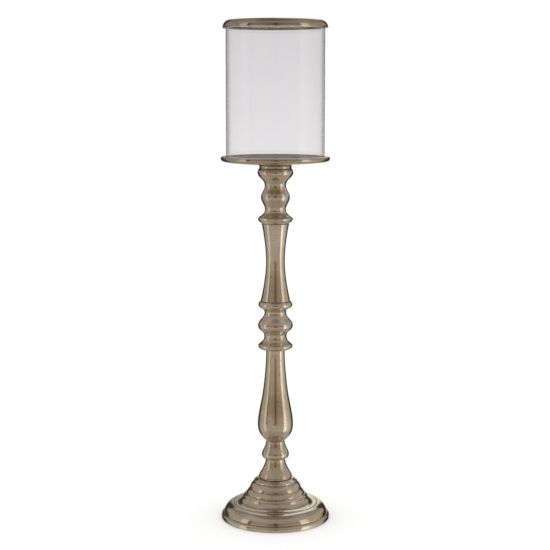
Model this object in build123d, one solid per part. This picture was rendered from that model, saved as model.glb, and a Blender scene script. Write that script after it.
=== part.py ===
from build123d import *
import math
import os

os.makedirs("parts", exist_ok=True)

# A floor-standing hurricane candle lantern: a turned metal pedestal made of hollow
# castings threaded on one tie rod, a flat candle plate, a glass cylinder standing in the
# plate's groove and a rounded metal rim resting on the glass.
# Millimetres, +Z up, origin on the floor in the middle of the foot.

# --- glass cylinder and its two seats ---
glass_radius = 75.0
glass_wall = 3.0
glass_length = 200.0
glass_edge_round = 1.0
glass_gap = 0.4                 # sideways play of the glass in the plate and in the rim

# --- rim ---
rim_margin = 4.5                # metal outside the glass
rim_skirt = 5.9                 # overlap down the glass
rim_crown = 6.0                 # metal above the glass
rim_mouth_inset = 1.0           # opening inside the bore of the glass, on the radius
rim_edge_round = 0.9
rim_shoulder = 2.1              # straight part of the skirt, below the crown's curve
rim_crown_rise = 5.4            # reach of the crown's curve straight up from the shoulder
rim_crown_reach = 2.4           # and straight out from the mouth

# --- candle plate ---
plate_margin = 8.4              # metal outside the glass
plate_thickness = 9.3           # at the edge, from the underside to the top
plate_groove_depth = 2.5
plate_lip_round = 4.1           # from the widest point up to the flat top
plate_lip_flat = 4.9            # flat top between the groove and the lip's curve
plate_dish = 4.1                # rise of the underside from the boss to the edge
plate_under_run = 10.7          # curved underside, in from the widest point
plate_under_reach = 6.8         # and how far its curve keeps the dish's slope
plate_edge_drop = 2.9           # upright part of the edge's curve, below the widest point
plate_edge_rise = 2.6           # and above it
boss_radius = 24.7
boss_height = 5.3
boss_fillet = 3.2

# --- heights of the castings in the stack ---
foot_height = 66.0
bell_height = 28.2
collar_height = 28.9
baluster_height = 145.5
centre_knop_height = 75.4
column_height = 119.8
capital_height = 84.2

# --- foot ---
foot_radius = 84.5
foot_lift = 0.8                 # the felt stands this far below the metal
foot_wall = 4.5
foot_boss_radius = 14.0
foot_boss_bottom = 26.0
foot_seat_radius = 24.5
bell_radius = 26.4
bell_gap = 2.8                  # dark recess between the bell's edge and the foot's ledge

# --- shared joint between two castings: a spigot in a bored mouth ---
bore_radius = 11.0
spigot_height = 3.0
spigot_play = 0.1
mouth_relief = 0.5              # a mouth is this much deeper than its spigot
end_web = 6.0
baluster_wall = 4.0

# --- tie rod and what is under the foot ---
rod_radius = 5.0
rod_play = 0.3
rod_end_chamfer = 1.0
thread_play = 0.04
thread_depth = 10.0
nut_across_flats = 17.0
nut_height = 8.0
nut_chamfer = 0.6
nut_tail = 2.0                  # rod standing out of the nut
washer_radius = 10.0
washer_thickness = 2.0
lock_washer_radius = 9.0
lock_washer_thickness = 2.2
lock_washer_slit = 1.6
felt_thickness = 3.0
felt_play = 3.0                 # felt and ballast inside the foot's skirt, on the radius
ballast_thickness = 10.5
ballast_edge = 2.5
ballast_hub_radius = 16.0
nut_pocket_radius = 13.0
nut_pocket_depth = 15.5

# --- turned outlines ---
# Each turn is (radius, height above the casting's foot, lean, hold below, hold above).
# lean is how much the radius grows per mm of height there, and a hold is the share of the
# next stretch over which the outline keeps its direction before it bends away.
even = 0.4
quarter_bulge = 1 - math.sqrt(0.5)   # bulge of a quarter circle of radius 1

bell_turns = [
    (bell_radius, 0.0, -0.38, even, 0.3),
    (15.3, bell_height, 0.0, even, even),
]
collar_turns = [
    (16.6, 0.0, 2.1, even, 0.2),
    (21.3, 7.6, 0.0, 0.55, 0.22),
    (14.5, collar_height, 0.0, 0.45, even),
]
baluster_turns = [
    (14.9, 0.0, 0.86, even, 0.25),
    (27.7, 26.3, 0.0, 0.58, 0.3),
    (19.4, 80.0, -0.13, 0.32, 0.3),
    (14.5, baluster_height, 0.0, 0.35, even),
]
centre_knop_turns = [
    (22.6, 0.0, 1.4, even, 0.2),
    (26.8, 5.3, 0.0, 0.6, 0.3),
    (17.4, 20.7, 0.0, 0.69, 0.46),
    (27.1, 37.3, 0.0, 0.5, even),
    (16.9, 57.6, 0.0, 0.44, 0.47),
    (26.5, 69.5, 0.0, 0.44, 0.41),
    (23.2, centre_knop_height, -0.96, 0.48, even),
]
column_turns = [
    (22.9, 0.0, -0.22, even, 0.2),
    (14.6, 61.0, 0.0, 0.36, 0.34),
    (21.2, column_height, 0.22, 0.24, even),
]
capital_turns = [
    (21.2, 0.0, 0.97, even, 0.26),
    (26.8, 7.4, 0.0, 0.55, 0.29),
    (16.1, 21.4, 0.0, 0.58, 0.36),
    (22.2, 40.5, 0.0, 0.38, even),
    (16.4, 58.2, 0.0, even, 0.48),
    (27.5, 78.0, 0.0, even, 0.42),
    (boss_radius + 0.2, capital_height, -1.7, 0.12, even),
]

# The foot's mouldings, as (radius, height, bulge of the arc to the next point). The upper
# tiers are counted out from the bell and down from the foot's top, and the outer ones in
# from the foot's edge and up from the floor. A groove is one point cut in.
upper_tiers = [
    (1.2, -2.9, 0.0),           # ledge under the bell
    (5.0, -4.9, 0.7),
    (7.4, -8.1, 0.0),
    (7.2, -8.5, 0.0),           # groove
    (8.0, -8.9, 0.9),           # first tier
    (14.0, -18.8, 0.0),
    (13.7, -19.2, 0.0),         # groove
    (14.3, -19.8, 0.5),         # second tier
    (19.0, -26.8, 0.0),
    (19.3, -27.4, 0.6),         # ridge
    (23.2, -30.3, 0.0),
    (22.9, -30.7, 0.0),         # groove
    (23.6, -31.1, 0.0),         # top of the cove
]
outer_tiers = [
    (19.9, 24.6, 0.0),          # flat ring outside the cove
    (19.2, 23.4, 0.0),          # groove
    (18.6, 24.0, 3.5),          # big round
    (3.8, 9.0, 0.0),
    (4.0, 8.5, 0.0),            # groove
    (3.1, 8.4, 0.7),            # edge band
    (0.0, 4.4, 0.0),
]
cove_steep_share = 0.52         # of the cove's drop, kept steep at its top
cove_flat_share = 0.55          # of the cove's width, kept flat at its foot
cove_lean = 0.3

# --- worked out from the sizes above ---
bell_base = foot_height
collar_base = bell_base + bell_height
baluster_base = collar_base + collar_height
centre_knop_base = baluster_base + baluster_height
column_base = centre_knop_base + centre_knop_height
capital_base = column_base + column_height
plate_base = capital_base + capital_height
groove_outer = glass_radius + glass_gap
groove_inner = glass_radius - glass_wall - glass_gap
plate_radius = glass_radius + plate_margin
plate_edge_base = plate_base + boss_height + plate_dish
plate_top = plate_edge_base + plate_thickness
glass_base = plate_top - plate_groove_depth
glass_top = glass_base + glass_length
rim_radius = glass_radius + rim_margin
rim_mouth = glass_radius - glass_wall - rim_mouth_inset
rim_base = glass_top - rim_skirt
rim_top = glass_top + rim_crown
spigot_radius = bore_radius - spigot_play
rod_hole = rod_radius + rod_play
skirt_radius = foot_radius - foot_wall
felt_radius = skirt_radius - felt_play
nut_seat = felt_thickness + nut_pocket_depth
lock_washer_top = nut_seat - washer_thickness
nut_top = lock_washer_top - lock_washer_thickness
nut_base = nut_top - nut_height
rod_base = nut_base - nut_tail
rod_top = plate_base + spigot_height + mouth_relief + thread_depth


def at(radius, height):
    """A point of an outline, in the XZ plane."""
    return Vector(radius, 0, height)


def bowed(start, end, bulge):
    """An arc that stands bulge mm to the left of the straight line between two points."""
    if not bulge:
        return Line(start, end)
    run = (end - start).normalized()
    left = Vector(-run.Z, 0, run.X)
    return ThreePointArc(start, (start + end) / 2 + left * bulge, end)


def disc(radius, low, high):
    return Pos(0, 0, low) * Cylinder(radius, high - low, align=(Align.CENTER, Align.CENTER, Align.MIN))


def revolved(edges):
    """Closes an outline with the axis and turns it into a solid."""
    first, last = edges[0] @ 0, edges[-1] @ 1
    closing = [Line(at(0, first.Z), first), Line(last, at(0, last.Z)), Line(at(0, last.Z), at(0, first.Z))]
    return revolve(make_face([closing[0], *edges, *closing[1:]]), axis=Axis.Z)


def turned(turns, base):
    """A turned body whose outline flows from one turn to the next."""
    edges = []
    for low, high in zip(turns, turns[1:]):
        rise = high[1] - low[1]
        start = at(low[0], base + low[1])
        end = at(high[0], base + high[1])
        leave = start + Vector(low[2], 0, 1) * rise * low[4]
        arrive = end - Vector(high[2], 0, 1) * rise * high[3]
        edges.append(Bezier(start, leave, arrive, end))
    return revolved(edges)


def moulding(points):
    """Lines and outward arcs through (radius, height, bulge) points, from the top down."""
    return [bowed(at(*a[:2]), at(*b[:2]), a[2]) for a, b in zip(points, points[1:])]


def polyline_body(points):
    """A turned body with straight flanks."""
    corners = [at(*point) for point in points]
    return revolved([Line(a, b) for a, b in zip(corners, corners[1:])])


def bored(body, base, height):
    """Bores a casting from below, leaves a web at its top and puts the spigot on the web."""
    top = base + height
    body -= disc(bore_radius, base, top - end_web)
    body += disc(spigot_radius, top, top + spigot_height)
    return body - disc(rod_hole, base, top + spigot_height)


def felt_pad():
    return disc(felt_radius, 0, felt_thickness)


def ballast_disc():
    top = felt_thickness + ballast_thickness
    slope = ballast_thickness - ballast_edge
    body = polyline_body([
        (felt_radius, felt_thickness),
        (felt_radius, felt_thickness + ballast_edge),
        (felt_radius - slope, top),
        (ballast_hub_radius, top),
        (ballast_hub_radius, foot_boss_bottom),
    ])
    body -= disc(nut_pocket_radius, felt_thickness, nut_seat)
    return body - disc(rod_hole, nut_seat, foot_boss_bottom)


def flat_washer():
    return disc(washer_radius, lock_washer_top, nut_seat) - disc(rod_hole, lock_washer_top, nut_seat)


def lock_washer():
    ring = disc(lock_washer_radius, nut_top, lock_washer_top)
    ring -= disc(rod_hole, nut_top, lock_washer_top)
    slit = Box(
        2 * lock_washer_radius,
        lock_washer_slit,
        3 * lock_washer_thickness,
        align=(Align.MIN, Align.CENTER, Align.CENTER),
    )
    return ring - Pos(0, 0, nut_top) * slit


def foot_nut():
    corner_radius = nut_across_flats / math.sqrt(3)
    hexagon = Pos(0, 0, nut_base) * RegularPolygon(corner_radius, 6)
    nut = extrude(hexagon, nut_height)
    nut = chamfer(nut.edges().filter_by(Axis.Z, reverse=True), nut_chamfer)
    return nut - disc(rod_radius + thread_play, nut_base, nut_top)


def tie_rod():
    rod = disc(rod_radius, rod_base, rod_top)
    return chamfer(rod.edges().filter_by(GeomType.CIRCLE), rod_end_chamfer)


def foot():
    upper = [(bell_radius + out, foot_height + down, bulge) for out, down, bulge in upper_tiers]
    outer = [(foot_radius - inset, height, bulge) for inset, height, bulge in outer_tiers]
    seat = [
        (foot_seat_radius, foot_height, 0.0),
        (foot_seat_radius, foot_height - bell_gap, 0.0),
    ]
    cove_top, cove_foot = at(*upper[-1][:2]), at(*outer[0][:2])
    steep_run = (cove_top.Z - cove_foot.Z) * cove_steep_share
    flat_run = (cove_foot.X - cove_top.X) * cove_flat_share
    cove = Bezier(
        cove_top,
        cove_top + at(steep_run * cove_lean, -steep_run),
        cove_foot - at(flat_run, 0),
        cove_foot,
    )
    outer_edges = moulding([*outer, (foot_radius, foot_lift, 0.0)])
    body = revolved(moulding(seat + upper) + [cove] + outer_edges)

    # The hollow follows the mouldings one wall's thickness inside them.
    first_groove, second_groove = at(*upper[3][:2]), at(*upper[6][:2])
    big_round = outer_edges[2]
    followed = [big_round @ 0.5, outer_edges[0] @ 1, cove @ 0.5, cove_top, second_groove, first_groove]
    web_bottom = foot_height - bell_gap - end_web
    body -= polyline_body([
        (skirt_radius, foot_lift),
        (skirt_radius, outer[-1][1]),
        *[(point.X - foot_wall, point.Z - foot_wall) for point in followed],
        (foot_seat_radius - foot_wall, web_bottom),
        (foot_boss_radius, web_bottom),
        (foot_boss_radius, foot_boss_bottom),
    ])
    body += disc(bell_radius - foot_wall - spigot_play, foot_height, foot_height + spigot_height)
    return body - disc(rod_hole, foot_boss_bottom, foot_height + spigot_height)


def bell_collar():
    body = turned(bell_turns, bell_base)
    top = bell_base + bell_height
    cavity = polyline_body([
        (bell_radius - foot_wall, bell_base),
        (bell_radius - foot_wall, bell_base + spigot_height + mouth_relief),
        (bore_radius, bell_base + bell_height / 2),
        (bore_radius, top - end_web),
    ])
    body -= cavity
    body += disc(spigot_radius, top, top + spigot_height)
    return body - disc(rod_hole, top - end_web, top + spigot_height)


def lower_collar():
    return bored(turned(collar_turns, collar_base), collar_base, collar_height)


def baluster():
    body = bored(turned(baluster_turns, baluster_base), baluster_base, baluster_height)
    belly_radius, belly_height = baluster_turns[1][:2]
    core_radius = belly_radius - baluster_wall
    core = turned(
        [
            (bore_radius, belly_height / 3, 0.0, even, even),
            (core_radius, belly_height + baluster_wall / 2, 0.0, 0.5, 0.3),
            (bore_radius, baluster_height - 5 * end_web, 0.0, 0.5, even),
        ],
        baluster_base,
    )
    return body - core


def centre_knop():
    return bored(turned(centre_knop_turns, centre_knop_base), centre_knop_base, centre_knop_height)


def column():
    return bored(turned(column_turns, column_base), column_base, column_height)


def capital_knop():
    return bored(turned(capital_turns, capital_base), capital_base, capital_height)


def candle_plate():
    neck_top = plate_base + boss_height
    widest = plate_top - plate_lip_round
    boss_edge = at(boss_radius, neck_top - boss_fillet)
    fillet_end = at(boss_radius + boss_fillet, neck_top)
    under_edge = at(plate_radius - plate_under_run, plate_edge_base)
    rim_point = at(plate_radius, widest)
    lip_flat = at(groove_outer + plate_lip_flat, plate_top)
    slope = (under_edge - fillet_end) * (plate_under_reach / (under_edge - fillet_end).X)
    lip_rise = at(0, plate_edge_rise)
    edges = [
        Line(at(boss_radius, plate_base), boss_edge),
        bowed(boss_edge, fillet_end, boss_fillet * quarter_bulge),
        Line(fillet_end, under_edge),
        Bezier(under_edge, under_edge + slope, rim_point - at(0, plate_edge_drop), rim_point),
        Bezier(rim_point, rim_point + lip_rise, lip_flat + at(plate_edge_rise, 0), lip_flat),
    ]
    body = revolved(edges)
    body -= disc(groove_outer, glass_base, plate_top) - disc(groove_inner, glass_base, plate_top)
    body -= disc(bore_radius, plate_base, plate_base + spigot_height + mouth_relief)
    return body - disc(rod_radius + thread_play, plate_base, rod_top + rod_end_chamfer)


def glass_shade():
    tube = disc(glass_radius, glass_base, glass_top) - disc(glass_radius - glass_wall, glass_base, glass_top)
    return fillet(tube.edges().filter_by(GeomType.CIRCLE), glass_edge_round)


def shade_rim():
    shoulder = at(rim_radius, rim_base + rim_shoulder)
    crown = at(rim_mouth + rim_edge_round, rim_top)
    edges = [
        Line(at(rim_radius, rim_base), shoulder),
        Bezier(shoulder, shoulder + at(0, rim_crown_rise), crown + at(rim_crown_reach, 0), crown),
        bowed(crown, at(rim_mouth, rim_top - rim_edge_round), -rim_edge_round * quarter_bulge),
        Line(at(rim_mouth, rim_top - rim_edge_round), at(rim_mouth, glass_top)),
        Line(at(rim_mouth, glass_top), at(groove_outer, glass_top)),
        Line(at(groove_outer, glass_top), at(groove_outer, rim_base)),
        Line(at(groove_outer, rim_base), at(rim_radius, rim_base)),
    ]
    return revolve(make_face(edges), axis=Axis.Z)


pieces = [
    felt_pad,
    ballast_disc,
    flat_washer,
    lock_washer,
    foot_nut,
    tie_rod,
    foot,
    bell_collar,
    lower_collar,
    baluster,
    centre_knop,
    column,
    capital_knop,
    candle_plate,
    glass_shade,
    shade_rim,
]
for piece in pieces:
    export_step(piece(), f"parts/{piece.__name__}.step")
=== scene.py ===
import math

import bmesh
import bpy
from mathutils import Matrix, Vector, noise


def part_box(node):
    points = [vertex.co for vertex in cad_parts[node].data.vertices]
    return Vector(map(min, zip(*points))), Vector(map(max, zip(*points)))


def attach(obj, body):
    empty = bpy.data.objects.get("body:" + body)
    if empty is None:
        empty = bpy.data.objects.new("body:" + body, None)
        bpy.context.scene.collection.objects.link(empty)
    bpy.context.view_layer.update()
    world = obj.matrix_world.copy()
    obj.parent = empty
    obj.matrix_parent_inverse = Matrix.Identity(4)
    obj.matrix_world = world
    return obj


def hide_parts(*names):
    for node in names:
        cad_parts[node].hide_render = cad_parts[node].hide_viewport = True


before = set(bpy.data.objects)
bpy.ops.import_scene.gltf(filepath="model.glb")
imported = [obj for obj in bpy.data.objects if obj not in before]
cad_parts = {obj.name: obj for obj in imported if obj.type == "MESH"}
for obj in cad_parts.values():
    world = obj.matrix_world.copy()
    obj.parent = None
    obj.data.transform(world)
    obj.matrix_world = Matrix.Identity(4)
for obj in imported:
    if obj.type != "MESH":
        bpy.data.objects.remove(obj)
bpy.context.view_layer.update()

# A floor-standing candle lantern: a turned pedestal of antique nickel castings, a candle
# plate, a glass cylinder standing in the plate's groove and a rounded rim on the glass.
# Outlines are (radius, height) points in millimetres, with heights from each piece's own
# foot. Everything else is in metres.
mm = 0.001

lathe = {
    "pathRadius": 50.0,      # circle that a section is swept along
    "turns": 168,            # faces round a piece
    "step": 1.1,             # longest run between two points of a section
    "edgeRound": 0.35,       # broken edges
    "wobble": 0.05,          # how far hand polishing wanders from a true turning
    "wobbleSize": 0.019,
    "wobbleInwards": 0.9,    # keeps it inside the true turning
    "seed": 4,
    "hollowReach": 1.2,      # span over which grooves and edges are felt
    "patinaShadeFrom": 0.25,       # hollows deeper than this get dark patina and painted shade
    "patinaShadeOver": 0.1,
    "wearFrom": 0.12,        # edges prouder than this wear bright
    "wearOver": 0.15,
    "seamShadeReach": 0.7,        # painted shade on both sides of a joint
    "seamShadeFade": 0.45,
}
stem = {
    "boreRadius": 11.0,
    "spigotRadius": 10.9,
    "spigotHeight": 3.0,
    "rodHole": 5.3,
    "endWeb": 6.0,
}


# shapes of a section

def curved(start, leave, arrive, end, count=26):
    points = []
    for index in range(1, count + 1):
        t = index / count
        s = 1 - t
        weights = (s ** 3, 3 * s * s * t, 3 * s * t * t, t ** 3)
        corners = (start, leave, arrive, end)
        points.append(tuple(sum(w * c[axis] for w, c in zip(weights, corners)) for axis in (0, 1)))
    return points


def flowing(turns):
    # turns are (radius, height, lean, hold below, hold above)
    points = [turns[0][:2]]
    for low, high in zip(turns, turns[1:]):
        rise = high[1] - low[1]
        leave = (low[0] + low[2] * rise * low[4], low[1] + rise * low[4])
        arrive = (high[0] - high[2] * rise * high[3], high[1] - rise * high[3])
        points += curved(low[:2], leave, arrive, high[:2])
    return points


def arcTo(start, end, bulge, count=10):
    # an arc that stands bulge to the left of the straight line between two points
    if not bulge:
        return [end]
    run = Vector((end[0] - start[0], end[1] - start[1]))
    left = Vector((-run.y, run.x)).normalized()
    radius = (run.length ** 2 / 4 + bulge ** 2) / (2 * abs(bulge))
    middle = (Vector(start) + Vector(end)) / 2
    centre = middle + left * (bulge - math.copysign(radius, bulge))
    first = Vector(start) - centre
    sweep = first.angle_signed(Vector(end) - centre)
    points = []
    for index in range(1, count + 1):
        spoke = first.copy()
        spoke.rotate(Matrix.Rotation(-sweep * index / count, 2))
        points.append(tuple(centre + spoke))
    return points


def moulded(mouldings):
    points = [mouldings[0][:2]]
    for a, b in zip(mouldings, mouldings[1:]):
        points += arcTo(a[:2], b[:2], a[2])
    return points


def castingSection(outline, height, inside=()):
    # the outside, the spigot on top, the rod's hole, the web and the bore
    return [
        *outline,
        (stem["spigotRadius"], height),
        (stem["spigotRadius"], height + stem["spigotHeight"]),
        (stem["rodHole"], height + stem["spigotHeight"]),
        (stem["rodHole"], height - stem["endWeb"]),
        (stem["boreRadius"], height - stem["endWeb"]),
        *inside,
    ]


def broken(points, size, closed):
    # rounds every sharp corner a little
    rounded = []
    count = len(points)
    for index, point in enumerate(points):
        if not closed and index in (0, count - 1):
            rounded.append(point)
            continue
        here = Vector(point)
        back = Vector(points[index - 1]) - here
        ahead = Vector(points[(index + 1) % count]) - here
        if math.pi - back.angle(ahead, math.pi) < 0.33:
            rounded.append(point)
            continue
        cut = min(size, 0.45 * back.length, 0.45 * ahead.length)
        start, end = here + back.normalized() * cut, here + ahead.normalized() * cut
        for t in (0, 0.33, 0.67, 1):
            rounded.append(tuple(start * (1 - t) ** 2 + here * 2 * t * (1 - t) + end * t * t))
    return rounded


def spaced(points, step, closed):
    full = []
    pairs = list(zip(points, points[1:] + points[:1] if closed else points[1:]))
    for a, b in pairs:
        run = math.dist(a, b)
        if run < 1e-4:
            continue
        parts = max(1, math.ceil(run / step))
        for index in range(parts):
            t = index / parts
            full.append((a[0] + (b[0] - a[0]) * t, a[1] + (b[1] - a[1]) * t))
    if not closed:
        full.append(points[-1])
    return full


def hollows(points, closed):
    # how deep each point lies below the chord between the points a reach away on both
    # sides of it: grooves are above zero, proud edges below, on an outline that runs down
    reach = lathe["hollowReach"]
    count = len(points)
    depths = []
    for index, point in enumerate(points):
        here = Vector(point)
        ends = []
        for way in (-1, 1):
            near, travelled, k = here, 0.0, index
            while travelled < reach:
                k += way
                if not closed and not 0 <= k < count:
                    break
                following = Vector(points[k % count])
                run = (following - near).length
                if travelled + run > reach:
                    following = near + (following - near) * ((reach - travelled) / run)
                    run = reach - travelled
                travelled += run + 1e-9
                near = following
            ends.append(near)
        along = ends[1] - ends[0]
        outward = Vector((-along.y, along.x)).normalized()
        depths.append(((ends[0] + ends[1]) / 2 - here).dot(outward))
    return depths


# the lathe: a section swept round the axis, wandering a little as handwork does

def latheTree():
    tree = bpy.data.node_groups.new("lathe", "GeometryNodeTree")
    face = tree.interface
    face.new_socket("Section", in_out="INPUT", socket_type="NodeSocketGeometry")
    for name, kind, value in (
        ("Path Radius", "NodeSocketFloat", lathe["pathRadius"] * mm),
        ("Turns", "NodeSocketInt", lathe["turns"]),
        ("Wobble", "NodeSocketFloat", 0.0),
        ("Wobble Size", "NodeSocketFloat", lathe["wobbleSize"]),
        ("Seed", "NodeSocketFloat", float(lathe["seed"])),
        ("Finish", "NodeSocketMaterial", None),
    ):
        socket = face.new_socket(name, in_out="INPUT", socket_type=kind)
        if value is not None:
            socket.default_value = value
    face.new_socket("Piece", in_out="OUTPUT", socket_type="NodeSocketGeometry")
    given = put(tree, "NodeGroupInput").outputs
    section = put(tree, "GeometryNodeMeshToCurve", {"Mesh": given["Section"]})
    circle = put(tree, "GeometryNodeCurvePrimitiveCircle", {
        "Resolution": given["Turns"],
        "Radius": given["Path Radius"],
    })
    path = put(tree, "GeometryNodeSetCurveNormal", {"Curve": circle.outputs["Curve"]}, mode="Z_UP")
    swept = put(tree, "GeometryNodeCurveToMesh", {
        "Curve": path.outputs[0],
        "Profile Curve": section.outputs[0],
    })
    merged = put(
        tree, "GeometryNodeMergeByDistance", {"Geometry": swept.outputs[0], "Distance": 0.00001},
    )
    waves = put(tree, "ShaderNodeTexNoise", {
        "W": given["Seed"],
        "Scale": calc(tree, "DIVIDE", 1.0, given["Wobble Size"]),
        "Detail": 1.0,
    }, noise_dimensions="4D")
    inwards = calc(tree, "SUBTRACT", waves.outputs[0], lathe["wobbleInwards"])
    amount = calc(tree, "MULTIPLY", inwards, given["Wobble"])
    normal = put(tree, "GeometryNodeInputNormal")
    offset = put(
        tree, "ShaderNodeVectorMath", {0: normal.outputs[0], "Scale": amount}, operation="SCALE",
    )
    moved = put(tree, "GeometryNodeSetPosition", {
        "Geometry": merged.outputs[0],
        "Offset": offset.outputs[0],
    })
    smooth = put(tree, "GeometryNodeSetShadeSmooth", {"Geometry": moved.outputs[0]})
    real = put(tree, "GeometryNodeRealizeInstances", {"Geometry": smooth.outputs[0]})
    finished = put(tree, "GeometryNodeSetMaterial", {
        "Geometry": real.outputs[0],
        "Material": given["Finish"],
    })
    put(tree, "NodeGroupOutput", {0: finished.outputs[0]})
    return tree


def held(value):
    return max(0.0, min(1.0, value))


def turnedPiece(
    name, points, base, material, closed=True, wobble=None, seams=(),
    satinTop=None, darkening=0.0, edgeRound=None, step=None, turns=None,
):
    # points run up the outside; seams are heights where the piece meets another, where shade is
    # painted in; a satin top is dull within a radius at a height; a darkening below a half only
    # darkens colour
    size = lathe["edgeRound"] if edgeRound is None else edgeRound
    section = spaced(broken(points, size, closed), step or lathe["step"], closed)
    section.reverse()
    depths = hollows(section, closed)
    # grooves get a mask of dark patina and painted shade; proud edges get a mask of bright wear
    patinaShadeMask = [held((depth - lathe["patinaShadeFrom"]) / lathe["patinaShadeOver"]) for depth in depths]
    edge = [held((-depth - lathe["wearFrom"]) / lathe["wearOver"]) for depth in depths]
    # the darkening rides in the satin mask; below a half it only darkens the colour
    satin = [darkening] * len(section)
    for index, point in enumerate(section):
        # painted shade: points near a seam are darkened as if shaded in the joint between two pieces
        gap = min((abs(point[1] - seam) for seam in seams), default=9.0)
        patinaShadeMask[index] = max(patinaShadeMask[index], held((lathe["seamShadeReach"] - gap) / lathe["seamShadeFade"]))
        if satinTop and point[1] > satinTop[1] - 0.3 and point[0] < satinTop[0]:
            satin[index] = 1.0
    count = len(section)
    wire = bpy.data.meshes.new(name)
    spots = [
        (point[0] * mm - lathe["pathRadius"] * mm, -(point[1] + base) * mm, 0)
        for point in section
    ]
    links = [(index, (index + 1) % count) for index in range(count if closed else count - 1)]
    wire.from_pydata(spots, links, [])
    for label, values in (("patinaShadeMask", patinaShadeMask), ("edge", edge), ("satin", satin)):
        wire.attributes.new(label, "FLOAT", "POINT").data.foreach_set("value", values)
    maker = bpy.data.objects.new(name, wire)
    bpy.context.scene.collection.objects.link(maker)
    modifier = maker.modifiers.new("lathe", "NODES")
    modifier.node_group = lathes
    amount = lathe["wobble"] if wobble is None else wobble
    setInputs(modifier, {
        "Path Radius": lathe["pathRadius"] * mm,
        "Turns": turns or lathe["turns"],
        "Wobble": amount * mm,
        "Wobble Size": lathe["wobbleSize"],
        "Seed": float(lathe["seed"] + base * 0.01),
        "Finish": material,
    })
    return settled(maker, name)


def setInputs(modifier, values):
    for item in modifier.node_group.interface.items_tree:
        if item.item_type == "SOCKET" and item.in_out == "INPUT" and item.name in values:
            modifier[item.identifier] = values[item.name]


def settled(maker, name):
    # the modifier's result as a plain mesh, in an object of its own
    graph = bpy.context.evaluated_depsgraph_get()
    mesh = bpy.data.meshes.new_from_object(maker.evaluated_get(graph))
    wire = maker.data
    bpy.data.objects.remove(maker)
    bpy.data.meshes.remove(wire)
    mesh.name = name
    shell = bmesh.new()
    shell.from_mesh(mesh)
    volume = shell.calc_volume(signed=True)
    shell.free()
    if volume < 0:
        mesh.flip_normals()
    piece = bpy.data.objects.new(name, mesh)
    bpy.context.scene.collection.objects.link(piece)
    print("  %-14s %6d faces, %7.2f cm3" % (name, len(mesh.polygons), volume * 1e6))
    return piece


def stands(piece, node, body):
    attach(piece, body)
    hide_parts(node)


# nodes

def put(tree, kind, inputs=None, **settings):
    made = tree.nodes.new(kind)
    for key, value in settings.items():
        setattr(made, key, value)
    for key, value in (inputs or {}).items():
        if isinstance(value, bpy.types.NodeSocket):
            tree.links.new(value, made.inputs[key])
        else:
            made.inputs[key].default_value = value
    return made


def calc(tree, operation, a, b=0.0, clamp=False):
    return put(tree, "ShaderNodeMath", {0: a, 1: b}, operation=operation, use_clamp=clamp).outputs[0]


def noiseAt(tree, place, scale, detail=3.0, rough=0.5, twist=0.0):
    return put(tree, "ShaderNodeTexNoise", {
        "Vector": place,
        "Scale": scale,
        "Detail": detail,
        "Roughness": rough,
        "Distortion": twist,
    }).outputs["Fac"]


def spread(tree, value, low, high, start=0.0, end=1.0):
    # moves low..high to start..end, softly and held at both ends
    return put(tree, "ShaderNodeMapRange", {
        "Value": value,
        "From Min": low,
        "From Max": high,
        "To Min": start,
        "To Max": end,
    }, interpolation_type="SMOOTHSTEP").outputs["Result"]


def blended(tree, factor, a, b):
    made = put(tree, "ShaderNodeMix", {"Factor": factor}, data_type="RGBA", clamp_factor=True)
    for socket, value in ((made.inputs[6], a), (made.inputs[7], b)):
        if isinstance(value, bpy.types.NodeSocket):
            tree.links.new(value, socket)
        else:
            socket.default_value = (*value, 1.0)
    return made.outputs[2]


def bumped(tree, height, strength, distance, under=None):
    inputs = {"Height": height, "Strength": strength, "Distance": distance}
    if under is not None:
        inputs["Normal"] = under
    return put(tree, "ShaderNodeBump", inputs).outputs["Normal"]


def newMaterial(name):
    material = bpy.data.materials.new(name)
    material.use_nodes = True
    material.node_tree.nodes.clear()
    return material, material.node_tree


def roundTheAxis(tree, place, along):
    # a place whose pattern is drawn out into rings round the axis
    parts = put(tree, "ShaderNodeSeparateXYZ", {"Vector": place}).outputs
    squares = [calc(tree, "MULTIPLY", parts[axis], parts[axis]) for axis in (0, 1)]
    flat = calc(tree, "SQRT", calc(tree, "ADD", *squares))
    safe = calc(tree, "MAXIMUM", flat, 0.0005)
    east = calc(tree, "MULTIPLY", calc(tree, "DIVIDE", parts[0], safe), along)
    north = calc(tree, "MULTIPLY", calc(tree, "DIVIDE", parts[1], safe), along)
    return put(tree, "ShaderNodeCombineXYZ", {"X": east, "Y": north, "Z": parts[2]}).outputs[0], flat


nickel = {
    "bright": (0.73, 0.67, 0.59),
    "dull": (0.62, 0.56, 0.475),
    # the next colour marks age spots and pits, and is also painted into grooves and seams as shade
    # and dark patina
    "ageAndShade": (0.14, 0.112, 0.074),
    "worn": (0.82, 0.75, 0.64),
    "satin": (0.20, 0.155, 0.105),
    "satinRoughness": 0.5,
    "roughness": 0.055,
    "hollowRoughness": 0.42,
    "satinMetal": 0.5,       # share of bare metal left under the dullest satin
    "polishLines": 0.04,
    "pits": 0.35,
    "cloudScale": 30,
    "mottleScale": 150,
    "lineScale": 1500.0,
    "pitScale": 330.0,
    "rareScale": 75,
    "waveScale": 95,
}


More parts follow.
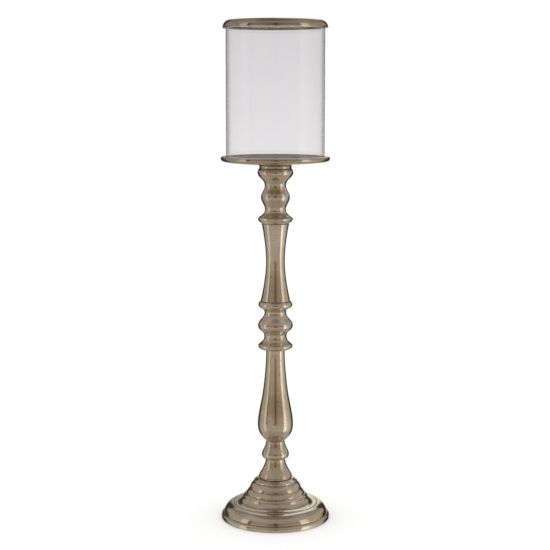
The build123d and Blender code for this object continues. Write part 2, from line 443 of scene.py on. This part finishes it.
def antiqueNickel():
    material, tree = newMaterial("antiqueNickel")
    place = put(tree, "ShaderNodeTexCoord").outputs["Object"]
    cloud = spread(tree, noiseAt(tree, place, nickel["cloudScale"], 4, 0.55, 0.4), 0.32, 0.68)
    mottle = noiseAt(tree, place, nickel["mottleScale"], 6, 0.65, 0.6)
    rings, radius = roundTheAxis(tree, place, 0.007)
    lines = put(tree, "ShaderNodeTexNoise", {
        "Vector": rings,
        "W": radius,
        "Scale": nickel["lineScale"],
        "Detail": 2.0,
        "Roughness": 0.6,
    }, noise_dimensions="4D").outputs["Fac"]
    cells = put(tree, "ShaderNodeTexVoronoi", {
        "Vector": place,
        "Scale": nickel["pitScale"],
        "Randomness": 1.0,
    })
    pit = spread(tree, cells.outputs["Distance"], 0.10, 0.26, 1.0, 0.0)
    rare = spread(tree, noiseAt(tree, place, nickel["rareScale"], 2, 0.5), 0.48, 0.60)
    pit = calc(tree, "MULTIPLY", pit, rare)
    patinaShadeMask = put(tree, "ShaderNodeAttribute", attribute_name="patinaShadeMask").outputs["Fac"]
    edge = put(tree, "ShaderNodeAttribute", attribute_name="edge").outputs["Fac"]
    satin = put(tree, "ShaderNodeAttribute", attribute_name="satin").outputs["Fac"]
    broke = spread(tree, mottle, 0.25, 0.7, 0.55, 1.25)
    patinaShade = calc(tree, "MULTIPLY", patinaShadeMask, broke, True)
    spots = spread(tree, mottle, 0.56, 0.76, 0.0, 0.5)
    colour = blended(tree, cloud, nickel["bright"], nickel["dull"])
    colour = blended(tree, calc(tree, "MULTIPLY", lines, 0.22), colour, nickel["dull"])
    colour = blended(tree, spots, colour, nickel["ageAndShade"])
    colour = blended(tree, calc(tree, "MULTIPLY", edge, 0.55), colour, nickel["worn"])
    # painted shade and dark patina: grooves and seams are darkened towards the age colour
    colour = blended(tree, calc(tree, "MULTIPLY", patinaShade, 0.92), colour, nickel["ageAndShade"])
    colour = blended(tree, calc(tree, "MULTIPLY", pit, 0.75), colour, nickel["ageAndShade"])
    colour = blended(tree, calc(tree, "MULTIPLY", satin, 0.9), colour, nickel["satin"])
    rough = calc(tree, "ADD", nickel["roughness"], calc(tree, "MULTIPLY", cloud, 0.03))
    rough = calc(tree, "ADD", rough, calc(tree, "MULTIPLY", lines, 0.04))
    rough = calc(tree, "ADD", rough, calc(tree, "MULTIPLY", spots, 0.15))
    rough = calc(tree, "ADD", rough, calc(tree, "MULTIPLY", pit, 0.2))
    matt = spread(tree, satin, 0.5, 1.0)
    rough = calc(tree, "ADD", rough, calc(tree, "MULTIPLY", matt, nickel["satinRoughness"]))
    rough = calc(tree, "ADD", rough, calc(tree, "MULTIPLY", patinaShade, nickel["hollowRoughness"]), True)
    relief = bumped(tree, noiseAt(tree, place, nickel["waveScale"], 2, 0.5), 0.12, 0.0002)
    relief = bumped(tree, lines, nickel["polishLines"], 0.00012, relief)
    relief = bumped(tree, calc(tree, "SUBTRACT", 1.0, pit), nickel["pits"], 0.0002, relief)
    shader = put(tree, "ShaderNodeBsdfPrincipled", {
        "Base Color": colour,
        "Metallic": spread(tree, satin, 0.5, 1.0, 1.0, nickel["satinMetal"]),
        "Roughness": rough,
        "Normal": relief,
    })
    put(tree, "ShaderNodeOutputMaterial", {"Surface": shader.outputs[0]})
    return material


glassLook = {
    "tint": (1.0, 1.0, 1.0),
    "smear": (0.965, 0.965, 0.97),
    "edge": (0.14, 0.145, 0.14),
    "ior": 1.5,
    "roughness": 0.0,
    "absorbed": (0.868, 0.862, 0.873),
    "density": 110.0,
    "drawnOut": 0.12,        # streaks run along the tube
    "streakScale": 42,
    "smearScale": 26,
    "dustScale": 900,
}


def clearGlass():
    material, tree = newMaterial("clearGlass")
    place = put(tree, "ShaderNodeTexCoord").outputs["Object"]
    drawn = put(tree, "ShaderNodeMapping", {
        "Vector": place,
        "Scale": (1.0, 1.0, glassLook["drawnOut"]),
    })
    streak = noiseAt(tree, drawn.outputs[0], glassLook["streakScale"], 2, 0.5)
    smear = spread(tree, noiseAt(tree, place, glassLook["smearScale"], 5, 0.6, 0.7), 0.5, 0.8)
    dust = spread(tree, noiseAt(tree, place, glassLook["dustScale"], 2, 0.5), 0.66, 0.8)
    colour = blended(tree, calc(tree, "MULTIPLY", smear, 0.35), glassLook["tint"], glassLook["smear"])
    # painted shade: the glass is darkened towards black where its wall is seen edge-on, for a dark
    # outline at its sides
    facing = put(tree, "ShaderNodeLayerWeight", {"Blend": 0.5}).outputs["Facing"]
    colour = blended(tree, spread(tree, facing, 0.73, 0.86), colour, glassLook["edge"])
    rough = calc(tree, "ADD", glassLook["roughness"], calc(tree, "MULTIPLY", smear, 0.018))
    rough = calc(tree, "ADD", rough, calc(tree, "MULTIPLY", dust, 0.02))
    relief = bumped(tree, streak, 0.03, 0.0003)
    shader = put(tree, "ShaderNodeBsdfPrincipled", {
        "Base Color": colour,
        "Roughness": rough,
        "IOR": glassLook["ior"],
        "Transmission Weight": 1.0,
        "Normal": relief,
    })
    depth = put(tree, "ShaderNodeVolumeAbsorption", {
        "Color": (*glassLook["absorbed"], 1.0),
        "Density": glassLook["density"],
    })
    put(tree, "ShaderNodeOutputMaterial", {"Surface": shader.outputs[0], "Volume": depth.outputs[0]})
    return material


zinc = {
    "light": (0.60, 0.60, 0.58),
    "dark": (0.47, 0.47, 0.47),
    "spangle": (0.72, 0.72, 0.70),
    "stain": (0.27, 0.20, 0.13),
    "roughness": 0.30,
}


def zincSteel():
    material, tree = newMaterial("zincSteel")
    place = put(tree, "ShaderNodeTexCoord").outputs["Object"]
    spangle = put(tree, "ShaderNodeTexVoronoi", {"Vector": place, "Scale": 420.0}).outputs["Color"]
    cloud = noiseAt(tree, place, 160, 5, 0.6, 0.3)
    stain = spread(tree, noiseAt(tree, place, 60, 4, 0.6), 0.55, 0.75)
    rings, radius = roundTheAxis(tree, place, 0.004)
    lines = noiseAt(tree, rings, 1800, 2, 0.6)
    colour = blended(tree, cloud, zinc["light"], zinc["dark"])
    colour = blended(tree, calc(tree, "MULTIPLY", spangle, 0.12), colour, zinc["spangle"])
    colour = blended(tree, calc(tree, "MULTIPLY", stain, 0.5), colour, zinc["stain"])
    rough = calc(tree, "ADD", zinc["roughness"], calc(tree, "MULTIPLY", cloud, 0.16))
    rough = calc(tree, "ADD", rough, calc(tree, "MULTIPLY", stain, 0.25), True)
    relief = bumped(tree, lines, 0.15, 0.0001, bumped(tree, cloud, 0.2, 0.0002))
    shader = put(tree, "ShaderNodeBsdfPrincipled", {
        "Base Color": colour, "Metallic": 1.0, "Roughness": rough, "Normal": relief,
    })
    put(tree, "ShaderNodeOutputMaterial", {"Surface": shader.outputs[0]})
    return material


iron = {
    "black": (0.022, 0.022, 0.023),
    "grey": (0.055, 0.054, 0.052),
    "rust": (0.16, 0.085, 0.045),
    "roughness": 0.42,
}


def blackIron():
    material, tree = newMaterial("blackIron")
    place = put(tree, "ShaderNodeTexCoord").outputs["Object"]
    grain = noiseAt(tree, place, 700, 4, 0.65)
    lumps = noiseAt(tree, place, 120, 3, 0.5)
    chips = spread(tree, noiseAt(tree, place, 95, 5, 0.7, 0.5), 0.63, 0.68)
    colour = blended(tree, grain, iron["black"], iron["grey"])
    colour = blended(tree, chips, colour, iron["rust"])
    rough = calc(tree, "ADD", iron["roughness"], calc(tree, "MULTIPLY", grain, 0.25))
    rough = calc(tree, "ADD", rough, calc(tree, "MULTIPLY", chips, 0.2), True)
    relief = bumped(tree, grain, 0.5, 0.0004, bumped(tree, lumps, 0.4, 0.001))
    relief = bumped(tree, calc(tree, "SUBTRACT", 1.0, chips), 0.4, 0.0003, relief)
    shader = put(tree, "ShaderNodeBsdfPrincipled", {
        "Base Color": colour, "Roughness": rough, "Normal": relief,
    })
    put(tree, "ShaderNodeOutputMaterial", {"Surface": shader.outputs[0]})
    return material


wool = {
    "deep": (0.018, 0.017, 0.016),
    "fibre": (0.075, 0.072, 0.068),
    "worn": (0.10, 0.092, 0.082),
    "roughness": 0.86,
}


def blackFelt():
    material, tree = newMaterial("blackFelt")
    place = put(tree, "ShaderNodeTexCoord").outputs["Object"]
    fibre = noiseAt(tree, place, 1400, 5, 0.75, 1.6)
    tangle = noiseAt(tree, place, 380, 4, 0.6, 2.2)
    worn = spread(tree, noiseAt(tree, place, 45, 3, 0.5), 0.5, 0.75)
    colour = blended(tree, fibre, wool["deep"], wool["fibre"])
    colour = blended(tree, calc(tree, "MULTIPLY", worn, 0.4), colour, wool["worn"])
    rough = calc(tree, "ADD", wool["roughness"], calc(tree, "MULTIPLY", tangle, 0.12), True)
    relief = bumped(tree, fibre, 0.7, 0.0005, bumped(tree, tangle, 0.5, 0.0008))
    shader = put(tree, "ShaderNodeBsdfPrincipled", {
        "Base Color": colour,
        "Roughness": rough,
        "Normal": relief,
        "Sheen Weight": 0.35,
        "Sheen Roughness": 0.5,
    })
    put(tree, "ShaderNodeOutputMaterial", {"Surface": shader.outputs[0]})
    return material


nickelFinish = antiqueNickel()
glassFinish = clearGlass()
steelFinish = zincSteel()
ironFinish = blackIron()
feltFinish = blackFelt()
lathes = latheTree()
print("materials and lathe ready")


# the foot

foot = {
    "radius": 84.48,             # a hair inside the drawn 84.5
    "height": 66.0,
    "lift": 0.8,                 # the felt stands this far below the metal
    "wall": 4.5,
    "bossRadius": 14.0,
    "bossBottom": 26.0,
    "seatRadius": 24.5,
    "seatDrop": 2.8,
    "bellRadius": 26.4,
    # out from the bell, down from the top, bulge of the arc to the next point
    "upper": [
        (1.2, -2.9, 0.0),
        (5.0, -4.9, 0.7),
        (7.4, -8.1, 0.0),
        (7.2, -8.5, 0.0),
        (8.0, -8.9, 0.9),
        (14.0, -18.8, 0.0),
        (13.7, -19.2, 0.0),
        (14.3, -19.8, 0.5),
        (19.0, -26.8, 0.0),
        (19.3, -27.4, 0.6),
        (23.2, -30.3, 0.0),
        (22.9, -30.7, 0.0),
        (23.6, -31.1, 0.0),
    ],
    # in from the edge, up from the floor, bulge
    "outer": [
        (19.9, 24.6, 0.0),
        (19.2, 23.4, 0.0),
        (18.6, 24.0, 3.5),
        (3.8, 9.0, 0.0),
        (4.0, 8.5, 0.0),
        (3.1, 8.4, 0.7),
        (0.0, 4.4, 0.0),
    ],
    "coveSteep": 0.52,
    "coveFlat": 0.55,
    "coveLean": 0.3,
}


def footSection():
    top = foot["height"]
    upper = [(foot["bellRadius"] + out, top + down, bulge) for out, down, bulge in foot["upper"]]
    outer = [(foot["radius"] - inset, height, bulge) for inset, height, bulge in foot["outer"]]
    seat = [(foot["seatRadius"], top, 0.0), (foot["seatRadius"], top - foot["seatDrop"], 0.0)]
    coveTop, coveFoot = upper[-1][:2], outer[0][:2]
    steep = (coveTop[1] - coveFoot[1]) * foot["coveSteep"]
    flat = (coveFoot[0] - coveTop[0]) * foot["coveFlat"]
    cove = curved(
        coveTop,
        (coveTop[0] + steep * foot["coveLean"], coveTop[1] - steep),
        (coveFoot[0] - flat, coveFoot[1]),
        coveFoot,
    )
    outerLine = moulded([*outer, (foot["radius"], foot["lift"], 0.0)])
    outside = moulded(seat + upper) + cove + outerLine[1:]
    outside.reverse()
    wall = foot["wall"]
    roundMiddle = arcTo(outer[2][:2], outer[3][:2], outer[2][2], 2)[0]
    followed = [roundMiddle, outer[1][:2], cove[len(cove) // 2], coveTop, upper[6][:2], upper[3][:2]]
    webBottom = top - foot["seatDrop"] - stem["endWeb"]
    lipRadius = foot["bellRadius"] - wall - 0.1
    under = [
        (stem["rodHole"], foot["bossBottom"]),
        (foot["bossRadius"], foot["bossBottom"]),
        (foot["bossRadius"], webBottom),
        (foot["seatRadius"] - wall, webBottom),
        *[(point[0] - wall, point[1] - wall) for point in reversed(followed)],
        (foot["radius"] - wall, outer[-1][1]),
        (foot["radius"] - wall, foot["lift"]),
    ]
    spigot = [
        (lipRadius, top),
        (lipRadius, top + stem["spigotHeight"]),
        (stem["rodHole"], top + stem["spigotHeight"]),
    ]
    return outside + spigot + under


footPiece = turnedPiece("foot_casting", footSection(), 0.0, nickelFinish, seams=(foot["height"],))
stands(footPiece, "foot", "stand")


# the stem's castings, from the bell up

even = 0.4
castings = {
    "bell_collar": {
        "height": 28.2,
        "turns": [
            (26.4, 0.0, -0.38, even, 0.3),
            (15.3, 28.2, 0.0, even, even),
        ],
        "inside": [(11.0, 14.1), (21.9, 3.5), (21.9, 0.0)],
    },
    "lower_collar": {
        "height": 28.9,
        "turns": [
            (16.6, 0.0, 2.1, even, 0.2),
            (21.3, 7.6, 0.0, 0.55, 0.22),
            (14.5, 28.9, 0.0, 0.45, even),
        ],
    },
    "baluster": {
        "height": 145.5,
        "turns": [
            (14.9, 0.0, 0.86, even, 0.25),
            (27.7, 26.3, 0.0, 0.58, 0.3),
            (19.4, 80.0, -0.13, 0.32, 0.3),
            (14.5, 145.5, 0.0, 0.35, even),
        ],
        "core": [
            (11.0, 8.77, 0.0, even, even),
            (23.7, 28.3, 0.0, 0.5, 0.3),
            (11.0, 115.5, 0.0, 0.5, even),
        ],
    },
    "centre_knop": {
        "height": 75.4,
        "turns": [
            (22.6, 0.0, 1.4, even, 0.2),
            (26.8, 5.3, 0.0, 0.6, 0.3),
            (17.4, 20.7, 0.0, 0.69, 0.46),
            (27.1, 37.3, 0.0, 0.5, even),
            (16.9, 57.6, 0.0, 0.44, 0.47),
            (26.5, 69.5, 0.0, 0.44, 0.41),
            (23.2, 75.4, -0.96, 0.48, even),
        ],
    },
    "column": {
        "height": 119.8,
        "turns": [
            (22.9, 0.0, -0.22, even, 0.2),
            (14.6, 61.0, 0.0, 0.36, 0.34),
            (21.2, 119.8, 0.22, 0.24, even),
        ],
    },
    "capital_knop": {
        "height": 84.2,
        "turns": [
            (21.2, 0.0, 0.97, even, 0.26),
            (26.8, 7.4, 0.0, 0.55, 0.29),
            (16.1, 21.4, 0.0, 0.58, 0.36),
            (22.2, 40.5, 0.0, 0.38, even),
            (16.4, 58.2, 0.0, even, 0.48),
            (27.5, 78.0, 0.0, even, 0.42),
            (24.9, 84.2, -1.7, 0.12, even),
        ],
    },
}


def heightOf(node):
    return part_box(node)[0][2] / mm  # a piece's lowest point


for node, values in castings.items():
    inside = values.get("inside", [(stem["boreRadius"], 0.0)])
    if "core" in values:
        inside = [*reversed(flowing(values["core"])), *inside]
    section = castingSection(flowing(values["turns"]), values["height"], inside)
    casting = turnedPiece(
        node + "_casting", section, heightOf(node), nickelFinish, seams=(0.0, values["height"]),
    )
    stands(casting, node, "stand")
print("foot and stem castings turned")


# the candle plate

plate = {
    "bossRadius": 24.7,
    "bossHeight": 5.3,
    "underRun": 10.7,        # the underside turns up this far in from the edge
    "underReach": 6.8,
    "underLean": 0.6,
    "edgeDrop": 2.9,
    "edgeRise": 2.6,
    "satinRadius": 71.4,     # the candle seat, dull from use
    # the plate's colour is darkened all over by this much
    "darkening": 0.32,
    "fillet": 3.2,
    "dish": 4.1,
    "thickness": 9.3,
    "radius": 83.4,
    "lipRound": 4.1,
    "lipFlat": 80.3,
    "grooveOuter": 75.4,
    "grooveInner": 71.6,
    "grooveDepth": 2.5,
    "mouthRadius": 11.0,
    "mouthDepth": 3.5,
    "threadRadius": 5.04,
    "threadTop": 14.5,
}


def plateSection():
    neck = plate["bossHeight"]
    edgeBase = neck + plate["dish"]
    top = edgeBase + plate["thickness"]
    bossEdge = (plate["bossRadius"], neck - plate["fillet"])
    filletEnd = (plate["bossRadius"] + plate["fillet"], neck)
    underEdge = (plate["radius"] - plate["underRun"], edgeBase)
    widest = (plate["radius"], top - plate["lipRound"])
    flat = (plate["lipFlat"], top)
    underTurn = (underEdge[0] + plate["underReach"], underEdge[1] + plate["underLean"])
    belowWidest = (widest[0], widest[1] - plate["edgeDrop"])
    aboveWidest = (widest[0], widest[1] + plate["edgeRise"])
    return [
        (0.0, plate["threadTop"]),
        (plate["threadRadius"], plate["threadTop"]),
        (plate["threadRadius"], plate["mouthDepth"]),
        (plate["mouthRadius"], plate["mouthDepth"]),
        (plate["mouthRadius"], 0.0),
        (plate["bossRadius"], 0.0),
        bossEdge,
        *arcTo(bossEdge, filletEnd, plate["fillet"] * (1 - math.sqrt(0.5))),
        underEdge,
        *curved(underEdge, underTurn, belowWidest, widest),
        *curved(widest, aboveWidest, (flat[0] + plate["edgeRise"], flat[1]), flat),
        (plate["grooveOuter"], top),
        (plate["grooveOuter"], top - plate["grooveDepth"]),
        (plate["grooveInner"], top - plate["grooveDepth"]),
        (plate["grooveInner"], top),
        (0.0, top),
    ]


platePiece = turnedPiece(
    "candle_plate_casting", plateSection(), heightOf("candle_plate"), nickelFinish,
    closed=False, seams=(0.0,), darkening=plate["darkening"],
    satinTop=(plate["satinRadius"], plate["bossHeight"] + plate["dish"] + plate["thickness"]),
)
stands(platePiece, "candle_plate", "stand")


# the rim on the glass

rim = {
    "radius": 79.5,
    "height": 11.9,
    "shoulder": 2.1,
    "crownRise": 5.4,
    "crownReach": 2.4,
    "mouth": 71.0,
    "mouthRound": 0.9,
    "seatRadius": 75.4,
    "seatHeight": 5.9,
    # the rim's colour is darkened all over by this much
    "darkening": 0.48,
}


def rimSection():
    shoulder = (rim["radius"], rim["shoulder"])
    crown = (rim["mouth"] + rim["mouthRound"], rim["height"])
    lipEnd = (rim["mouth"], rim["height"] - rim["mouthRound"])
    overShoulder = (shoulder[0], shoulder[1] + rim["crownRise"])
    return [
        (rim["radius"], 0.0),
        shoulder,
        *curved(shoulder, overShoulder, (crown[0] + rim["crownReach"], crown[1]), crown),
        *arcTo(crown, lipEnd, -rim["mouthRound"] * (1 - math.sqrt(0.5)), 5),
        (rim["mouth"], rim["seatHeight"]),
        (rim["seatRadius"], rim["seatHeight"]),
        (rim["seatRadius"], 0.0),
    ]


rimPiece = turnedPiece(
    "shade_rim_casting", rimSection(), heightOf("shade_rim"), nickelFinish, darkening=rim["darkening"],
)
stands(rimPiece, "shade_rim", "rim")
print("plate and rim turned")


# the glass cylinder, cut from drawn tube, with fire-polished ends

glass = {
    "radius": 75.0,
    "wall": 3.0,
    "length": 200.0,
    "endRound": 1.3,
    "endKeep": 0.3,          # a narrow band that keeps the wall's shading straight
    "wobble": 0.02,
    "step": 5.0,
    "turns": 420,
}


def tubeSection():
    # a quarter of the section, mirrored end for end and then inside for outside
    outer, bend = glass["radius"], glass["endRound"]
    middle = outer - glass["wall"] / 2
    corner = (outer - bend, 0.0)
    quarter = [
        (middle, 0.0),
        corner,
        *arcTo(corner, (outer, bend), -0.29 * bend, 5),
        (outer, bend + glass["endKeep"]),
    ]
    half = quarter + [(r, glass["length"] - z) for r, z in reversed(quarter)]
    return half + [(2 * middle - r, z) for r, z in reversed(half[1:-1])]


tube = turnedPiece(
    "glass_cylinder", tubeSection(), heightOf("glass_shade"), glassFinish,
    wobble=glass["wobble"], edgeRound=0.0, step=glass["step"], turns=glass["turns"],
)
stands(tube, "glass_shade", "shade")
print("glass made")


# under the foot: a felt pad of its own, and the carried castings and fixings

felt = {"rings": 46, "spokes": 150, "edgeRound": 1.1, "fuzz": 0.14}


def feltPad():
    low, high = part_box("felt_pad")
    radius, thick = high[0] / mm, high[2] / mm
    shell = bmesh.new()
    profile = [(0.0, 0.0)]
    steps = felt["rings"]
    flatRadius = radius - felt["edgeRound"]
    profile += [(flatRadius * k / steps, 0.0) for k in range(1, steps + 1)]
    for k in range(1, 7):
        turn = math.pi * k / 7
        bulge = felt["edgeRound"] * math.sin(turn)
        profile.append((flatRadius + bulge, thick * (1 - math.cos(turn)) / 2))
    profile += [(flatRadius * k / steps, thick) for k in range(steps, 0, -1)]
    profile.append((0.0, thick))
    rings = []
    for r, z in profile:
        ring = []
        for k in range(felt["spokes"] if r else 1):
            turn = 2 * math.pi * k / felt["spokes"]
            spot = Vector((r * math.cos(turn), r * math.sin(turn), z))
            fuzz = felt["fuzz"] * (noise.noise(spot * 0.9) * 0.5 + 0.5)
            shrink = 1 - fuzz / radius if r > flatRadius else 1.0
            lift = fuzz if z < thick / 2 else -fuzz
            keep = 0.0 if 0 < z < thick else 1.0
            ring.append(shell.verts.new((
                spot.x * shrink * mm,
                spot.y * shrink * mm,
                (z + lift * keep) * mm,
            )))
        rings.append(ring)
    for a, b in zip(rings, rings[1:]):
        for k in range(felt["spokes"]):
            n = (k + 1) % felt["spokes"]
            if len(a) == 1:
                shell.faces.new((a[0], b[n], b[k]))
            elif len(b) == 1:
                shell.faces.new((a[k], a[n], b[0]))
            else:
                shell.faces.new((a[k], a[n], b[n], b[k]))
    bmesh.ops.recalc_face_normals(shell, faces=shell.faces)
    mesh = bpy.data.meshes.new("felt_disc")
    shell.to_mesh(mesh)
    shell.free()
    mesh.polygons.foreach_set("use_smooth", [True] * len(mesh.polygons))
    mesh.materials.append(feltFinish)
    pad = bpy.data.objects.new("felt_disc", mesh)
    bpy.context.scene.collection.objects.link(pad)
    return pad, radius * mm


pad, padRadius = feltPad()
stands(pad, "felt_pad", "stand")

for node, finish in (
    ("ballast_disc", ironFinish),
    ("tie_rod", steelFinish),
    ("flat_washer", steelFinish),
    ("lock_washer", steelFinish),
    ("foot_nut", steelFinish),
):
    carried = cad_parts[node]
    for slot in carried.material_slots:
        slot.material = finish
    if not carried.material_slots:
        carried.data.materials.append(finish)
print("felt and fixings finished")


# studio: pale floor, soft light from a tent round the lantern, camera

# The tent's rings are stops of (degrees to the right of the camera, brightness, warmth).
studio = {
    "floorRadius": 4.0,
    "floor": (0.86, 0.86, 0.86),
    "fill": 1.25,                # light on everything matt
    "ceiling": (0.22, 0.195, 0.155),
    "groundNear": (0.40, 0.345, 0.27),
    "groundFar": (0.50, 0.43, 0.34),
    "throughGlass": (0.92, 0.70),    # backdrop seen through the glass, low and high
    "nearFloor": 0.16,               # the backdrop brightens where it meets the floor
    "tint": (0.95, 0.87),            # green and blue of the tent's cloth beside its red
    "warming": (0.09, 0.18),
    # heights in degrees over which one part of the tent gives way to the next
    "upperAt": (-1.0, 8.0),
    "overheadAt": (24.0, 34.0),
    "ceilingAt": (58.0, 76.0),
    "groundAt": (-42.0, -24.0),
    "gapsFrom": (-10.0, -7.0),
    "backdropAt": (-6.0, 6.0),
    "nearFloorAt": (-9.0, -5.0),
    "panels": [
        (-180, 0.45, -0.3),
        (-170, 0.40, -0.3),
        (-164, 0.06, 0.3),
        (-130, 0.06, 0.3),
        (-122, 0.42, 0.3),
        (-84, 0.56, 0.2),
        (-80, 0.80, 0.0),
        (-66, 0.84, 0.0),
        (-62, 0.51, 0.6),
        (0, 0.50, 0.8),
        (56, 0.53, 0.5),
        (60, 1.42, 0.0),
        (75, 1.25, 0.0),
        (79, 0.84, 0.1),
        (100, 0.60, 0.3),
        (122, 0.45, 0.4),
        (130, 0.06, 0.3),
        (163, 0.05, 0.3),
        (168, 0.85, -0.3),
        (180, 0.90, -0.3),
    ],
    "upperPanels": [
        (-180, 0.42, -0.4),
        (-169, 0.38, -0.4),
        (-163, 0.06, 0.3),
        (-148, 0.06, 0.3),
        (-142, 0.42, 0.4),
        (-84, 0.50, 0.3),
        (-79, 0.80, 0.0),
        (-66, 0.82, 0.0),
        (-62, 0.37, 0.8),
        (0, 0.35, 0.9),
        (56, 0.38, 0.8),
        (60, 1.05, 0.0),
        (75, 0.95, 0.0),
        (80, 0.56, 0.3),
        (142, 0.48, 0.4),
        (148, 0.06, 0.3),
        (162, 0.06, 0.3),
        (168, 1.00, -0.4),
        (180, 0.90, -0.4),
    ],
    "overhead": [
        (-180, 0.60, -0.3),
        (-158, 0.52, -0.3),
        (-148, 0.28, 0.4),
        (-84, 0.48, 0.4),
        (-60, 0.44, 0.6),
        (0, 0.38, 0.8),
        (60, 0.45, 0.6),
        (84, 0.50, 0.4),
        (146, 0.30, 0.3),
        (156, 1.00, -0.3),
        (180, 0.90, -0.3),
    ],
    # the gap between the panels at the camera, and a lamp stand on the left
    "gaps": [
        (-180, 1.0, 0.0),
        (-64, 1.0, 0.0),
        (-62, 0.35, 0.3),
        (-57, 0.35, 0.3),
        (-55, 1.0, 0.0),
        (-36, 1.0, 0.0),
        (-22, 0.93, 0.2),
        (-11, 0.80, 0.4),
        (-4, 0.64, 0.8),
        (-1, 0.28, 1.0),
        (2, 0.28, 1.0),
        (6, 0.68, 0.8),
        (12, 0.82, 0.4),
        (24, 0.94, 0.2),
        (36, 1.0, 0.0),
        (180, 1.0, 0.0),
    ],
}


def ring(tree, share, stops):
    # a colour that changes with the direction round the lantern
    ramp = put(tree, "ShaderNodeValToRGB", {"Fac": share})
    elements = ramp.color_ramp.elements
    while len(elements) > 1:
        elements.remove(elements[-1])
    for index, (angle, bright, warm) in enumerate(stops):
        place = angle / 360 + 0.5
        stop = elements[0] if index == 0 else elements.new(place)
        stop.position = place
        green, blue = (t - w * warm for t, w in zip(studio["tint"], studio["warming"]))
        stop.color = (bright, bright * green, bright * blue, 1.0)
    return ramp.outputs["Color"]


def studioWorld():
    world = bpy.data.worlds.new("studio")
    bpy.context.scene.world = world
    world.use_nodes = True
    tree = world.node_tree
    tree.nodes.clear()
    place = put(tree, "ShaderNodeTexCoord").outputs["Generated"]
    parts = put(tree, "ShaderNodeSeparateXYZ", {"Vector": place}).outputs
    turn = calc(tree, "ARCTAN2", parts[0], calc(tree, "MULTIPLY", parts[1], -1.0))
    share = calc(tree, "ADD", calc(tree, "DIVIDE", turn, 2 * math.pi), 0.5)
    height = calc(tree, "MULTIPLY", calc(tree, "ARCSINE", parts[2]), 180 / math.pi)
    around = ring(tree, share, studio["panels"])
    upper = ring(tree, share, studio["upperPanels"])
    around = blended(tree, spread(tree, height, *studio["upperAt"]), around, upper)
    gapsEnd = spread(tree, height, *studio["overheadAt"], 1.0, 0.0)
    band = calc(tree, "MULTIPLY", spread(tree, height, *studio["gapsFrom"]), gapsEnd)
    gap = blended(tree, band, (1.0, 1.0, 1.0), ring(tree, share, studio["gaps"]))
    shaded = put(
        tree, "ShaderNodeMix", {0: 1.0, 6: around, 7: gap}, data_type="RGBA", blend_type="MULTIPLY",
    )
    overhead = ring(tree, share, studio["overhead"])
    around = blended(tree, spread(tree, height, *studio["overheadAt"]), shaded.outputs[2], overhead)
    around = blended(tree, spread(tree, height, *studio["ceilingAt"]), around, studio["ceiling"])
    far = spread(tree, calc(tree, "ABSOLUTE", turn), math.radians(50), math.radians(100))
    ground = blended(tree, far, studio["groundNear"], studio["groundFar"])
    around = blended(tree, spread(tree, height, *studio["groundAt"], 1.0, 0.0), around, ground)
    low, high = studio["throughGlass"]
    shade = spread(tree, height, *studio["backdropAt"], low, high)
    nearFloor = spread(tree, height, *studio["nearFloorAt"], studio["nearFloor"], 0.0)
    shade = calc(tree, "ADD", shade, nearFloor)
    backdrop = put(tree, "ShaderNodeCombineColor", {
        0: shade,
        1: calc(tree, "MULTIPLY", shade, 0.985),
        2: shade,
    })
    path = put(tree, "ShaderNodeLightPath").outputs
    around = blended(tree, path["Is Transmission Ray"], around, backdrop.outputs[0])
    matt = studio["fill"]
    seen = blended(tree, path["Is Diffuse Ray"], around, (matt, matt, matt))
    seen = blended(tree, path["Is Camera Ray"], seen, (1.0, 1.0, 1.0))
    light = put(tree, "ShaderNodeBackground", {"Color": seen, "Strength": 1.0})
    put(tree, "ShaderNodeOutputWorld", {"Surface": light.outputs[0]})
    world.cycles.sampling_method = "NONE"


def paleFloor():
    material, tree = newMaterial("paleFloor")
    shader = put(tree, "ShaderNodeBsdfPrincipled", {
        "Base Color": (*studio["floor"], 1.0), "Roughness": 0.9, "Specular IOR Level": 0.1,
    })
    put(tree, "ShaderNodeOutputMaterial", {"Surface": shader.outputs[0]})
    shell = bmesh.new()
    bmesh.ops.create_circle(shell, cap_ends=True, segments=96, radius=studio["floorRadius"])
    mesh = bpy.data.meshes.new("floor")
    shell.to_mesh(mesh)
    shell.free()
    mesh.materials.append(material)
    floor = bpy.data.objects.new("floor", mesh)
    bpy.context.scene.collection.objects.link(floor)
    floor.visible_glossy = False


camera = {"distance": 2.0325, "height": 0.6639, "tilt": 82.16, "lens": 87.15, "shift": -0.0008}


def placeCamera():
    lens = bpy.data.cameras.new("camera")
    lens.lens = camera["lens"]
    lens.sensor_width = 36
    lens.shift_x = camera["shift"]
    lens.clip_end = 50
    view = bpy.data.objects.new("camera", lens)
    view.location = (0, -camera["distance"], camera["height"])
    view.rotation_euler = (math.radians(camera["tilt"]), 0, 0)
    bpy.context.scene.collection.objects.link(view)
    bpy.context.scene.camera = view


studioWorld()
paleFloor()
placeCamera()
bpy.context.scene.view_settings.view_transform = "Standard"
print("studio ready")
